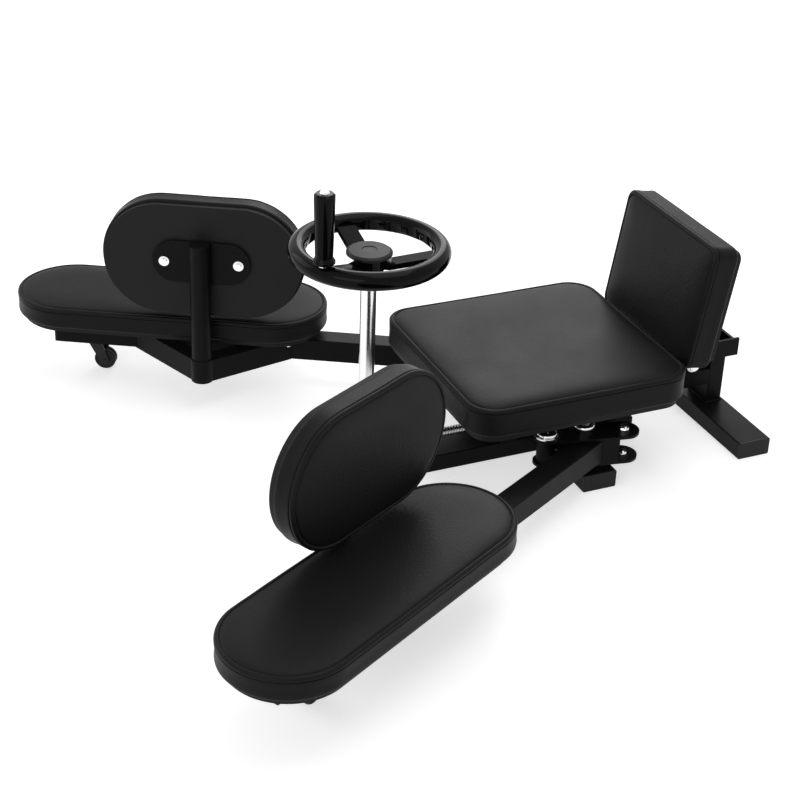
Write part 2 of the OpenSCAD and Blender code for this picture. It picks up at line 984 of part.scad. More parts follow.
// The bolt that carries the link, and the two short rear fork bolts
module arm_bolts(side) {
    color(chrome)
        on_fork(side) {
            translate([fork_off, -crank_front, 0]) {
                translate([0, 0, arm_z - plate_t])
                    cylinder(h = arm_h + 2 * plate_t, r = link_bolt_r);
                translate([0, 0, fork_top])
                    hex_head(9, 7, 2.25);
                translate([0, 0, arm_z - plate_t])
                    mirror([0, 0, 1])
                        hex_head(9, 6);
            }
            for (z = [arm_z - plate_t, arm_top])
                translate([fork_off, crank_rear, z]) {
                    cylinder(h = plate_t, r = 5);
                    translate([0, 0, plate_t])
                        hex_head(8, 5, 1.2);
                    mirror([0, 0, 1])
                        hex_head(8, 5, 1.2);
                }
        }
}

module pivot_bolts() {
    color(chrome)
        for (s = [-1, 1])
            translate([s * pivot_x, -pivot_front, 0]) {
                translate([0, 0, tube_wall])
                    cylinder(h = fork_top + slide_gap - tube_wall, r = pivot_r);
                translate([0, 0, fork_top + slide_gap]) {
                    cylinder(h = 3, r = 16);
                    translate([0, 0, 3])
                        cylinder(h = 11, r = 12, $fn = 6);
                    cylinder(h = 18, r = pivot_r);
                }
            }
}

// The bent frame on the inner side of an arm, with the pads' cross plates
module frame_band(w) {
    dx = arm_off - arm_w / 2 - post_x;
    span = sqrt(dx * dx + frame_half * frame_half);
    turn = atan2(frame_half, dx);
    translate([post_x, -side_mid])
        union() {
            circle(w / 2 + 4);
            for (s = [-1, 1])
                rotate([0, 0, s * turn])
                    translate([0, -w / 2])
                        square([span + w, w]);
        }
}

module pad_frame(side) {
    face = arm_off - arm_w / 2;
    color(steel_black)
        on_arm(side) {
            translate([0, 0, arm_z])
                difference() {
                    linear_extrude(arm_h)
                        difference() {
                            frame_band(frame_w);
                            translate([face, -side_mid - 2 * frame_half])
                                square([4 * frame_w, 4 * frame_half]);
                        }
                    translate([0, 0, tube_wall])
                        linear_extrude(arm_h - 2 * tube_wall)
                            difference() {
                                frame_band(frame_w - 2 * tube_wall);
                                translate([face, -side_mid - 2 * frame_half])
                                    square([4 * frame_w, 4 * frame_half]);
                            }
                }
            for (a = pad_plates)
                translate([pad_off, -a, arm_top])
                    linear_extrude(riser_t)
                        rounded(riser_len, riser_w, 6);
        }
}

module side_post(side) {
    color(steel_black)
        on_arm(side)
            translate([0, -side_mid, 0]) {
                translate([post_x, 0, arm_top])
                    difference() {
                        cylinder(h = post_top - arm_top, r = post_r);
                        translate([0, 0, -1])
                            cylinder(h = post_top - arm_top - 3, r = post_r - tube_wall);
                    }
                translate([side_board_back - plate_t, 0, side_z])
                    rotate([90, 0, 90])
                        linear_extrude(plate_t)
                            difference() {
                                stadium(post_plate_len, post_plate_h);
                                for (s = [-1, 1])
                                    translate([s * side_bolt_gap / 2, 0])
                                        circle(4.2);
                            }
            }
}

module side_board(side) {
    color(ply)
        on_arm(side)
            translate([side_board_back, -side_mid, side_z])
                rotate([90, 0, 90])
                    linear_extrude(side_board_t)
                        stadium(side_len - board_inset, side_h - board_inset);
}

module side_cushion(side) {
    color(vinyl_black)
        on_arm(side)
            translate([side_back, -side_mid, side_z])
                rotate([90, 0, 90])
                    cushion(side_len, side_h, side_t, side_h / 2, 4);
}

module leg_board(side) {
    color(ply)
        on_arm(side)
            translate([pad_off, -pad_mid, pad_board_z])
                rotate([0, 0, 90])
                    linear_extrude(pad_board_t)
                        stadium(pad_len - 2 * board_inset, pad_w - 2 * board_inset);
}

module leg_cushion(side) {
    color(vinyl_black)
        on_arm(side)
            translate([pad_off, -pad_mid, pad_z])
                rotate([0, 0, 90])
                    cushion(pad_len, pad_w, pad_t, pad_w / 2, 4);
}

module pad_bolts(side) {
    color(chrome)
        on_arm(side) {
            for (s = [-1, 1])
                translate([side_board_back - plate_t, -side_mid + s * side_bolt_gap / 2,
                    side_z])
                    rotate([0, -90, 0]) {
                        hex_head(6.5, 4.5);
                        translate([0, 0, -plate_t])
                            cylinder(h = plate_t, r = 4);
                    }
            for (a = pad_plates, x = [-riser_bolt, riser_bolt])
                translate([pad_off + x, -a, arm_top])
                    mirror([0, 0, 1])
                        hex_head(6, 4);
        }
}

// A swivel caster with its stem in the arm tube's lower wall
stem_r = 5;
fork_in = caster_w / 2 + 0.8;
module on_caster(side) {
    on_arm(side)
        translate([arm_off, -caster_mid, 0])
            children();
}

module caster_fork(side) {
    t = 2.5;
    head_z = arm_z - slide_gap;
    color(plastic_black)
        on_caster(side) {
            translate([0, 0, head_z - 5])
                cylinder(h = 5, r = 15);
            translate([0, 0, head_z])
                cylinder(h = tube_wall + 6, r = stem_r);
            for (s = [-1, 1])
                translate([s > 0 ? fork_in : -fork_in - t, 0, 0])
                    rotate([90, 0, 90])
                        linear_extrude(t)
                            union() {
                                translate([caster_trail, caster_r])
                                    circle(8);
                                polygon([
                                    [-10, head_z - 3], [13, head_z - 3],
                                    [caster_trail + 7.5, caster_r + 3],
                                    [caster_trail - 7.5, caster_r - 2.5]
                                ]);
                            }
            translate([-fork_in - t - 1.5, caster_trail, caster_r])
                rotate([0, 90, 0])
                    cylinder(h = 2 * (fork_in + t + 1.5), r = axle_r);
        }
}

module caster_wheel(side) {
    color(plastic_black)
        on_caster(side)
            translate([0, caster_trail, caster_r])
                rotate([0, 90, 0])
                    rotate_extrude($fn = 64)
                        polygon([
                            [axle_r + run_fit, -caster_w / 2],
                            [8, -caster_w / 2], [9, -caster_w / 2 + 2],
                            [caster_r - 5, -caster_w / 2 + 2],
                            [caster_r - 3, -caster_w / 2],
                            [caster_r, -caster_w / 2 + 3],
                            [caster_r, caster_w / 2 - 3],
                            [caster_r - 3, caster_w / 2],
                            [caster_r - 5, caster_w / 2 - 2],
                            [9, caster_w / 2 - 2], [8, caster_w / 2],
                            [axle_r + run_fit, caster_w / 2]
                        ]);
}

// The handwheel and its spinner handle
module on_wheel() {
    translate([0, -shaft_front, wheel_z])
        children();
}

module rim_scallop() {
    off = rim_r + scallop_r - scallop_bite;
    translate([wheel_r - off * cos(scallop_dip), 0, -off * sin(scallop_dip)])
        rotate([0, -scallop_dip, 0])
            cylinder(h = 3 * rim_r, r = scallop_r, center = true, $fn = 24);
}

module handwheel() {
    color(steel_black)
        on_wheel()
            difference() {
                union() {
                    difference() {
                        rotate_extrude($fn = 72)
                            translate([wheel_r, 0])
                                circle(rim_r, $fn = 24);
                        for (i = [0:scallops - 1])
                            rotate([0, 0, i * 360 / scallops])
                                rim_scallop();
                    }
                    for (i = [0:spokes - 1])
                        rotate([0, 0, handle_angle + i * 360 / spokes])
                            spoke();
                    translate([0, 0, -hub_drop - hub_h / 2])
                        cylinder(h = hub_h, r = hub_r);
                }
                translate([0, 0, -hub_drop - hub_h / 2 - 1])
                    cylinder(h = hub_h - 1, r = shaft_end_r);
                rotate([0, 0, handle_angle])
                    translate([wheel_r, 0, rim_r - 12]) {
                        cylinder(h = 20, r = spindle_r);
                        translate([0, 0, 12 - collar_seat])
                            cylinder(h = 20, r = collar_r + 0.4);
                    }
            }
}

module spoke() {
    out = wheel_r - 4;
    rotate([90, 0, 0])
        translate([0, 0, -spoke_w / 2])
            linear_extrude(spoke_w)
                polygon([
                    [hub_r - 6, -hub_drop - spoke_t / 2],
                    [hub_r + 10, -hub_drop - spoke_t / 2],
                    [out, -spoke_t / 2], [out, spoke_t / 2],
                    [hub_r + 10, -hub_drop + spoke_t / 2],
                    [hub_r - 6, -hub_drop + spoke_t / 2]
                ]);
}

module hub_cap() {
    color(plastic_black)
        on_wheel()
            translate([0, 0, -hub_drop + 10])
                rotate_extrude($fn = 64)
                    polygon([
                        [0, 0], [cap_r - 8, 0], [cap_r, 5], [cap_r, 8],
                        [cap_r - 4, 11], [12, 12], [11, 11], [0, 11]
                    ]);
}

spindle_r = 4;
// The spindle's collar, the flat cut for it in the rim, the grip's height
collar_r = 9;
collar_seat = 1.5;
grip_lift = 3;
module handle_spindle() {
    color(chrome)
        on_wheel()
            rotate([0, 0, handle_angle])
                translate([wheel_r, 0, rim_r - 12]) {
                    cylinder(h = 14 + grip_lift + handle_len, r = spindle_r);
                    translate([0, 0, 12 - collar_seat])
                        cylinder(h = collar_seat + grip_lift - slide_gap, r = collar_r);
                    translate([0, 0, 12 + grip_lift + handle_len + slide_gap])
                        cylinder(h = 3, r1 = 7.5, r2 = 5.5);
                }
}

module handle_grip() {
    color(plastic_black)
        on_wheel()
            rotate([0, 0, handle_angle])
                translate([wheel_r, 0, rim_r + grip_lift])
                    rotate_extrude($fn = 64)
                        polygon([
                            [spindle_r + run_fit, 0],
                            [handle_r1 + 2.5, 0], [handle_r1 + 3.5, 1],
                            [handle_r1 + 3.5, 4], [handle_r1, 10], [handle_r2, handle_len - 10],
                            [handle_r2, handle_len - 3], [handle_r2 - 3, handle_len],
                            [spindle_r + run_fit, handle_len]
                        ]);
}

module link_left() { link(1); }
module arm_tube_left() { arm_tube(1); }
module arm_fork_left() { arm_fork(1); }
module arm_bolts_left() { arm_bolts(1); }
module pad_frame_left() { pad_frame(1); }
module side_post_left() { side_post(1); }
module side_board_left() { side_board(1); }
module side_cushion_left() { side_cushion(1); }
module leg_board_left() { leg_board(1); }
module leg_cushion_left() { leg_cushion(1); }
module pad_bolts_left() { pad_bolts(1); }
module arm_caps_left() { arm_caps(1); }
module caster_fork_left() { caster_fork(1); }
module caster_wheel_left() { caster_wheel(1); }
module link_right() { link(-1); }
module arm_tube_right() { arm_tube(-1); }
module arm_fork_right() { arm_fork(-1); }
module arm_bolts_right() { arm_bolts(-1); }
module pad_frame_right() { pad_frame(-1); }
module side_post_right() { side_post(-1); }
module side_board_right() { side_board(-1); }
module side_cushion_right() { side_cushion(-1); }
module leg_board_right() { leg_board(-1); }
module leg_cushion_right() { leg_cushion(-1); }
module pad_bolts_right() { pad_bolts(-1); }
module arm_caps_right() { arm_caps(-1); }
module caster_fork_right() { caster_fork(-1); }
module caster_wheel_right() { caster_wheel(-1); }

main_beam();
pivot_foot();
rear_foot();
base_end_caps();
rear_post();
backrest_bracket();
recline_bolt();
backrest_strut();
backrest_board();
backrest_cushion();
backrest_screws();
seat_supports();
seat_rail();
seat_board();
seat_cushion();
seat_bolts();
gearbox_housing();
gearbox_cover();
gearbox_screws();
wheel_shaft();
shaft_bevel_gear();
screw_bevel_gear();
drive_bushes();
rear_bearing();
lead_screw();
nut_carriage();
lead_nut();
handwheel();
hub_cap();
handle_grip();
handle_spindle();
pivot_bolts();
link_left();
arm_tube_left();
arm_fork_left();
arm_bolts_left();
pad_frame_left();
side_post_left();
side_board_left();
side_cushion_left();
leg_board_left();
leg_cushion_left();
pad_bolts_left();
arm_caps_left();
caster_fork_left();
caster_wheel_left();
link_right();
arm_tube_right();
arm_fork_right();
arm_bolts_right();
pad_frame_right();
side_post_right();
side_board_right();
side_cushion_right();
leg_board_right();
leg_cushion_right();
pad_bolts_right();
arm_caps_right();
caster_fork_right();
caster_wheel_right();
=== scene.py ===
import math
import bpy
import bmesh
from mathutils import Matrix, Vector, noise


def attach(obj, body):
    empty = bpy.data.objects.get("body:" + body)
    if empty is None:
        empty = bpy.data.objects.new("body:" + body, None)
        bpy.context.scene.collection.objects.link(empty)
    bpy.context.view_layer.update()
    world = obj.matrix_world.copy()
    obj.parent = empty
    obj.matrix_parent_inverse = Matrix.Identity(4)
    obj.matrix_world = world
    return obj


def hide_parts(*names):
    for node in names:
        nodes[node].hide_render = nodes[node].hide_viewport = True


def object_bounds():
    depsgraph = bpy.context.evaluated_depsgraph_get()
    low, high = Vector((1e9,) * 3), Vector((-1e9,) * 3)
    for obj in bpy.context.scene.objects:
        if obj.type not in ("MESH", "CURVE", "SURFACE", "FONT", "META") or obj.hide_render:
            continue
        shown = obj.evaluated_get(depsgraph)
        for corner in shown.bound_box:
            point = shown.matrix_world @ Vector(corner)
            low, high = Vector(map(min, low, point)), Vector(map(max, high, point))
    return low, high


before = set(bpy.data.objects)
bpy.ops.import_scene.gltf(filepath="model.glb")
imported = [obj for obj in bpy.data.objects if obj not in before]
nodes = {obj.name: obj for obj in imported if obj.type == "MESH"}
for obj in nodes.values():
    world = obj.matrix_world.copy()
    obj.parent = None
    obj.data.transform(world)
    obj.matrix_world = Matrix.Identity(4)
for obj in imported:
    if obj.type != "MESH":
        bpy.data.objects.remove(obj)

cad_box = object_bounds()

# Floor and studio
# A white sweep under the machine, lit by large soft lamps, as in a
# catalogue photograph. The floor keeps a faint shadow of the machine.
FLOOR_SIZE = 60
PAPER_WHITE = 0.8
FADE_FROM, FADE_TO = 0.9, 2.6
GLOW_UNDER, GLOW_AWAY = 0.61, 0.95
AIR_LIGHT = 0.34


def emptied(owner):
    """Gives a material or a world a bare node tree."""
    owner.use_nodes = True
    owner.node_tree.nodes.clear()
    return owner.node_tree


def math_node(tree, operation, a, b=None, clamp=False):
    n = tree.nodes.new("ShaderNodeMath")
    n.operation = operation
    n.use_clamp = clamp
    for i, v in enumerate((a, b)):
        if v is None:
            continue
        if isinstance(v, (int, float)):
            n.inputs[i].default_value = v
        else:
            tree.links.new(v, n.inputs[i])
    return n.outputs[0]


def seen_apart(tree, plain, seen, output):
    """One shader lights the machine; the other is what the camera sees, straight, mirrored or through glass."""
    rays = tree.nodes.new("ShaderNodeLightPath")
    direct = rays.outputs["Is Camera Ray"]
    for kind in ("Is Glossy Ray", "Is Transmission Ray"):
        direct = math_node(tree, "MAXIMUM", direct, rays.outputs[kind])
    pick = tree.nodes.new("ShaderNodeMixShader")
    tree.links.new(direct, pick.inputs[0])
    tree.links.new(plain.outputs[0], pick.inputs[1])
    tree.links.new(seen.outputs[0], pick.inputs[2])
    tree.links.new(pick.outputs[0], tree.nodes.new(output).inputs["Surface"])


bpy.ops.object.select_all(action="DESELECT")
bpy.ops.mesh.primitive_plane_add(size=FLOOR_SIZE, location=(0, 0, 0))
studio_floor = bpy.context.object
studio_floor.name = "studio_floor"
sweep = bpy.data.materials.new("white_sweep")
t = emptied(sweep)
paper = t.nodes.new("ShaderNodeBsdfDiffuse")
paper.inputs["Color"].default_value = (PAPER_WHITE, PAPER_WHITE, PAPER_WHITE, 1)
glow = t.nodes.new("ShaderNodeEmission")
glow.inputs["Color"].default_value = (1, 1, 1, 1)
# the sweep is bright all over and takes its shadow only under the machine
spot = t.nodes.new("ShaderNodeTexCoord")
away = t.nodes.new("ShaderNodeVectorMath")
away.operation = "LENGTH"
t.links.new(spot.outputs["Object"], away.inputs[0])
fade = t.nodes.new("ShaderNodeMapRange")
fade.inputs["From Min"].default_value = FADE_FROM
fade.inputs["From Max"].default_value = FADE_TO
fade.inputs["To Min"].default_value = GLOW_UNDER
fade.inputs["To Max"].default_value = GLOW_AWAY
t.links.new(away.outputs["Value"], fade.inputs["Value"])
t.links.new(fade.outputs[0], glow.inputs["Strength"])
both = t.nodes.new("ShaderNodeAddShader")
t.links.new(paper.outputs[0], both.inputs[0])
t.links.new(glow.outputs[0], both.inputs[1])
seen_apart(t, paper, both, "ShaderNodeOutputMaterial")
studio_floor.data.materials.append(sweep)

scene = bpy.context.scene
scene.view_settings.view_transform = "Standard"
scene.world = bpy.data.worlds.new("studio_air")
t = emptied(scene.world)
seen = t.nodes.new("ShaderNodeBackground")
seen.inputs["Color"].default_value = (1, 1, 1, 1)
seen.inputs["Strength"].default_value = 1.0
soft = t.nodes.new("ShaderNodeBackground")
soft.inputs["Color"].default_value = (1, 1, 1, 1)
soft.inputs["Strength"].default_value = AIR_LIGHT
seen_apart(t, soft, seen, "ShaderNodeOutputWorld")

# name, place, what it faces, width and height, watts
for name, place, aim, (wide, high), watts in (
        ("overhead_bank", (0.1, 0.3, 2.9), (0.1, -0.1, 0), (2.6, 1.6), 24),
        ("rear_strip", (-2.4, 1.2, 2.0), (0, -0.1, 0.1), (1.4, 2.0), 30),
        ("front_fill", (2.0, -2.8, 1.8), (0.1, -0.2, 0.1), (2.4, 1.6), 24),
        ("left_fill", (-2.2, -2.4, 1.7), (-0.1, -0.2, 0.1), (2.2, 1.6), 18)):
    bpy.ops.object.light_add(type="AREA", location=place)
    lamp = bpy.context.object
    lamp.name = name
    lamp.data.shape = "RECTANGLE"
    lamp.data.size = wide
    lamp.data.size_y = high
    lamp.data.energy = watts
    look = Vector(aim) - Vector(place)
    lamp.rotation_euler = look.to_track_quat("-Z", "Y").to_euler()

# The camera stands where the photograph's camera stood: in front of the
# user's left, looking down, with a long lens.
PICTURE_PIXELS = 800
FOCAL_PIXELS = 1778
CENTRE_OFF = (-9.1, 16.9)
SENSOR = 36
CAMERA_AT = (2.2792, -1.3179, 1.5268)
yaw, pitch, roll = (math.radians(v) for v in (65.2, -29.7, 2.2))
cam = bpy.data.cameras.new("catalogue_camera")
cam_obj = bpy.data.objects.new("catalogue_camera", cam)
scene.collection.objects.link(cam_obj)
ahead = Vector((-math.sin(yaw) * math.cos(pitch), math.cos(yaw) * math.cos(pitch), math.sin(pitch)))
level_right = ahead.cross(Vector((0, 0, 1))).normalized()
level_up = level_right.cross(ahead)
cam_right = level_right * math.cos(roll) + level_up * math.sin(roll)
cam_up = -level_right * math.sin(roll) + level_up * math.cos(roll)
facing = Matrix((cam_right, cam_up, -ahead)).transposed().to_4x4()
cam_obj.matrix_world = Matrix.Translation(CAMERA_AT) @ facing
cam.sensor_width = SENSOR
cam.lens = SENSOR * FOCAL_PIXELS / PICTURE_PIXELS
cam.shift_x = CENTRE_OFF[0] / PICTURE_PIXELS
cam.shift_y = CENTRE_OFF[1] / PICTURE_PIXELS
scene.camera = cam_obj

# Welded steel frame
# Square, flat and round steel tube, cut, welded and powder coated in
# satin black. The coat is faintly pebbled and holds a little dust.


def new_group(name, sockets, outputs):
    group = bpy.data.node_groups.new(name, "ShaderNodeTree")
    for label, kind, value in sockets:
        s = group.interface.new_socket(label, in_out="INPUT", socket_type=kind)
        if value is not None:
            s.default_value = value
    for label, kind in outputs:
        group.interface.new_socket(label, in_out="OUTPUT", socket_type=kind)
    return group, group.nodes.new("NodeGroupInput"), group.nodes.new("NodeGroupOutput")


def noise_node(tree, scale, detail, vector):
    n = tree.nodes.new("ShaderNodeTexNoise")
    n.inputs["Scale"].default_value = scale
    n.inputs["Detail"].default_value = detail
    tree.links.new(vector, n.inputs["Vector"])
    return n


# Cloudy handling marks and settled dust, for every finish
handled, gin, gout = new_group(
    "handling_and_dust",
    [("Vector", "NodeSocketVector", None), ("Colour", "NodeSocketColor", (0.02, 0.02, 0.02, 1)),
     ("Dust colour", "NodeSocketColor", (0.3, 0.29, 0.28, 1)), ("Dust", "NodeSocketFloat", 0.03),
     ("Roughness", "NodeSocketFloat", 0.4), ("Variation", "NodeSocketFloat", 0.06)],
    [("Colour", "NodeSocketColor"), ("Roughness", "NodeSocketFloat")])
cloud = noise_node(handled, 9, 5, gin.outputs["Vector"])
speck = noise_node(handled, 900, 2, gin.outputs["Vector"])
spots = handled.nodes.new("ShaderNodeMapRange")
spots.inputs["From Min"].default_value = 0.62
spots.inputs["From Max"].default_value = 0.75
handled.links.new(speck.outputs["Fac"], spots.inputs["Value"])
# dust settles on what faces up, and thinly on the rest
normal = handled.nodes.new("ShaderNodeNewGeometry")
split = handled.nodes.new("ShaderNodeSeparateXYZ")
handled.links.new(normal.outputs["Normal"], split.inputs[0])
upward = math_node(handled, "MAXIMUM", split.outputs["Z"], 0.15)
amount = math_node(handled, "MULTIPLY", spots.outputs[0], upward)
amount = math_node(handled, "ADD", math_node(handled, "MULTIPLY", cloud.outputs["Fac"], 0.35), amount)
amount = math_node(handled, "MULTIPLY", amount, gin.outputs["Dust"], clamp=True)
tint = handled.nodes.new("ShaderNodeMix")
tint.data_type = "RGBA"
handled.links.new(amount, tint.inputs["Factor"])
handled.links.new(gin.outputs["Colour"], tint.inputs["A"])
handled.links.new(gin.outputs["Dust colour"], tint.inputs["B"])
handled.links.new(tint.outputs["Result"], gout.inputs["Colour"])
swing = math_node(handled, "SUBTRACT", cloud.outputs["Fac"], 0.5)
swing = math_node(handled, "MULTIPLY", swing, gin.outputs["Variation"])
swing = math_node(handled, "MULTIPLY", swing, 4.0)
handled.links.new(math_node(handled, "ADD", gin.outputs["Roughness"], swing, clamp=True), gout.inputs["Roughness"])

# Pebbled grain, for powder coat, leatherette and moulded plastic
pebbled, gin, gout = new_group(
    "pebbled_grain",
    [("Vector", "NodeSocketVector", None), ("Cells", "NodeSocketFloat", 700.0), ("Crease", "NodeSocketFloat", 0.5)],
    [("Height", "NodeSocketFloat")])
cells = pebbled.nodes.new("ShaderNodeTexVoronoi")
cells.feature = "SMOOTH_F1"
pebbled.links.new(gin.outputs["Vector"], cells.inputs["Vector"])
pebbled.links.new(gin.outputs["Cells"], cells.inputs["Scale"])
ripple = pebbled.nodes.new("ShaderNodeTexNoise")
ripple.inputs["Detail"].default_value = 3
pebbled.links.new(gin.outputs["Vector"], ripple.inputs["Vector"])
pebbled.links.new(math_node(pebbled, "MULTIPLY", gin.outputs["Cells"], 0.35), ripple.inputs["Scale"])
low = math_node(pebbled, "MULTIPLY", ripple.outputs["Fac"], gin.outputs["Crease"])
pebbled.links.new(math_node(pebbled, "SUBTRACT", low, cells.outputs["Distance"]), gout.inputs["Height"])


def finish(name, colour, roughness, metallic=0.0, dust=0.02, variation=0.05, specular=0.5,
           cells=None, crease=0.5, bump=0.1, depth=0.0002, edge=0.0):
    """A finish with handling marks; cells gives it a grain, and edge rounds its corners to the light."""
    mat = bpy.data.materials.new(name)
    mat.use_nodes = True
    tree = mat.node_tree
    shader = tree.nodes["Principled BSDF"]
    shader.inputs["Metallic"].default_value = metallic
    shader.inputs["Specular IOR Level"].default_value = specular
    coords = tree.nodes.new("ShaderNodeTexCoord")
    marks = tree.nodes.new("ShaderNodeGroup")
    marks.node_tree = handled
    marks.inputs["Colour"].default_value = (*colour, 1)
    marks.inputs["Dust"].default_value = dust
    marks.inputs["Roughness"].default_value = roughness
    marks.inputs["Variation"].default_value = variation
    tree.links.new(coords.outputs["Object"], marks.inputs["Vector"])
    tree.links.new(marks.outputs["Colour"], shader.inputs["Base Color"])
    tree.links.new(marks.outputs["Roughness"], shader.inputs["Roughness"])
    if edge:
        rounding = tree.nodes.new("ShaderNodeBevel")
        rounding.samples = 4
        rounding.inputs["Radius"].default_value = edge
        tree.links.new(rounding.outputs["Normal"], shader.inputs["Normal"])
    if cells:
        grain = tree.nodes.new("ShaderNodeGroup")
        grain.node_tree = pebbled
        grain.inputs["Cells"].default_value = cells
        grain.inputs["Crease"].default_value = crease
        tree.links.new(coords.outputs["Object"], grain.inputs["Vector"])
        relief = tree.nodes.new("ShaderNodeBump")
        relief.inputs["Strength"].default_value = bump
        relief.inputs["Distance"].default_value = depth
        tree.links.new(grain.outputs["Height"], relief.inputs["Height"])
        if edge:
            tree.links.new(rounding.outputs["Normal"], relief.inputs["Normal"])
        tree.links.new(relief.outputs["Normal"], shader.inputs["Normal"])
    return mat


def dress(material, *names):
    for name in names:
        piece = nodes[name]
        piece.data.materials.clear()
        piece.data.materials.append(material)


def both_sides(*names):
    return [name + "_" + side for name in names for side in ("left", "right")]


powder_coat = finish("satin_powder_coat", (0.004, 0.004, 0.0044), 0.42, dust=0.008, specular=0.08,
                     cells=900, crease=0.7, bump=0.12, depth=0.0003, edge=0.0016)
dress(powder_coat, "main_beam", "pivot_foot", "rear_foot", "rear_post", "backrest_bracket", "backrest_strut",
      "seat_supports", "seat_rail", "rear_bearing", "nut_carriage",
      *both_sides("link", "arm_tube", "arm_fork", "pad_frame", "side_post"))

# End caps
# Moulded plastic plugs with a fine grain, pushed into the open ends of
# the tubes.
cap_plastic = finish("moulded_cap", (0.008, 0.008, 0.0085), 0.5, dust=0.05, specular=0.2,
                     cells=1400, crease=0.9, bump=0.15, depth=0.0002, edge=0.0015)
dress(cap_plastic, "base_end_caps", *both_sides("arm_caps"))

# Gearbox
# A small cast housing and its cover, painted, on the front of the beam.
gearbox_coat = finish("gearbox_coat", (0.008, 0.008, 0.0085), 0.42, dust=0.05, specular=0.2,
                      cells=500, crease=1.0, bump=0.25, depth=0.0004, edge=0.0015)
dress(gearbox_coat, "gearbox_housing", "gearbox_cover")

# Plated hardware
# The wheel's shaft, the spindle of its handle, and every bolt and screw
# are bright plated steel.
bright_plate = finish("bright_plating", (0.86, 0.86, 0.87), 0.16, metallic=1.0, dust=0.01, variation=0.03)
dress(bright_plate, "recline_bolt", "backrest_screws", "seat_bolts", "gearbox_screws", "wheel_shaft",
      "handle_spindle", "pivot_bolts", *both_sides("arm_bolts", "pad_bolts"))

# Bevel gears
# Two small gears of turned and cut steel, left bare inside the gearbox.
turned_steel = finish("turned_steel", (0.5, 0.5, 0.51), 0.26, metallic=1.0, dust=0.05, variation=0.05)
dress(turned_steel, "shaft_bevel_gear", "screw_bevel_gear")

# Bushes and nut
# Bronze bushes for the shafts, and the bronze nut inside the carriage.
bearing_bronze = finish("bearing_bronze", (0.42, 0.27, 0.11), 0.35, metallic=1.0, dust=0.1)
dress(bearing_bronze, "drive_bushes", "lead_nut")

# Lead screw
# A steel rod with a coarse thread, turned by the handwheel through the
# bevel gears; the nut's carriage runs along it under the seat.
SCREW_HEIGHT = 0.054
PITCH = 0.005
ROOT, CREST = 0.0067, 0.008
SUNK = 0.0004
THREAD_FROM, THREAD_TURNS = -0.3118, 79
CORE_FROM, CORE_TO = -0.330, 0.116
CREASE_ANGLE = math.radians(35)


def wound(name, outline, pitch=0.0, turns=1, steps=48):
    """An outline of (radius, height) points, drawn edge by edge and wound round Z."""
    bpy.ops.object.select_all(action="DESELECT")
    bpy.ops.mesh.primitive_plane_add(size=0.001)
    piece = bpy.context.object
    piece.name = name
    bpy.ops.object.mode_set(mode="EDIT")
    bpy.ops.mesh.select_all(action="SELECT")
    bpy.ops.mesh.merge(type="CENTER")
    bpy.ops.transform.translate(value=(outline[0][0], 0, outline[0][1]))
    for (r0, z0), (r1, z1) in zip(outline, outline[1:]):
        bpy.ops.mesh.extrude_region_move(TRANSFORM_OT_translate={"value": (r1 - r0, 0, z1 - z0)})
    bpy.ops.mesh.select_all(action="SELECT")
    bpy.ops.mesh.edge_face_add()
    bpy.ops.mesh.delete(type="ONLY_FACE")
    bpy.ops.object.mode_set(mode="OBJECT")
    winding = piece.modifiers.new("winding", "SCREW")
    winding.axis = "Z"
    winding.screw_offset = pitch
    winding.iterations = turns
    winding.steps = winding.render_steps = steps
    winding.use_merge_vertices = True
    winding.merge_threshold = 0.00001
    bpy.ops.object.modifier_apply(modifier=winding.name)
    bpy.ops.object.mode_set(mode="EDIT")
    bpy.ops.mesh.select_all(action="SELECT")
    bpy.ops.mesh.remove_doubles(threshold=0.00001)
    if pitch:
        bpy.ops.mesh.fill_holes(sides=len(outline) + 2)
    bpy.ops.mesh.normals_make_consistent(inside=False)
    bpy.ops.object.mode_set(mode="OBJECT")
    bpy.ops.object.shade_smooth_by_angle(angle=CREASE_ANGLE)
    return piece


def turned(degrees, axis):
    return Matrix.Rotation(math.radians(degrees), 4, axis)


screw_thread = wound("screw_thread", [(ROOT - SUNK, 0.0007), (CREST, 0.0018), (CREST, 0.0032), (ROOT - SUNK, 0.0043)],
                     pitch=PITCH, turns=THREAD_TURNS, steps=28)
screw_thread.data.transform(Matrix.Translation((0, THREAD_FROM, SCREW_HEIGHT)) @ turned(-90, "X"))
bpy.ops.mesh.primitive_cylinder_add(radius=ROOT, depth=CORE_TO - CORE_FROM, vertices=48)
screw_core = bpy.context.object
screw_core.name = "screw_core"
soften = screw_core.modifiers.new("turned_ends", "BEVEL")
soften.width = 0.0008
soften.segments = 2
soften.limit_method = "ANGLE"
bpy.ops.object.modifier_apply(modifier=soften.name)
core_middle = (0, (CORE_FROM + CORE_TO) / 2, SCREW_HEIGHT)
screw_core.data.transform(Matrix.Translation(core_middle) @ turned(-90, "X"))
bpy.ops.object.select_all(action="DESELECT")
screw_thread.select_set(True)
screw_core.select_set(True)
bpy.context.view_layer.objects.active = screw_thread
bpy.ops.object.join()
bpy.ops.object.shade_smooth_by_angle(angle=CREASE_ANGLE)
screw_thread.data.materials.append(turned_steel)
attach(screw_thread, "screw")
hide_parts("lead_screw")

# Handwheel
# A moulded wheel with finger waves, polished black, with a spinner handle
# to match and a matt cap over the nut of its hub.
gloss_black = finish("polished_black", (0.002, 0.002, 0.0023), 0.13, dust=0.004, variation=0.02, specular=0.08)
dress(gloss_black, "handwheel", "handle_grip")
matt_black = finish("matt_black", (0.01, 0.01, 0.0105), 0.48, dust=0.03, specular=0.2,
                    cells=900, crease=0.8, bump=0.12, depth=0.0003)
dress(matt_black, "hub_cap")

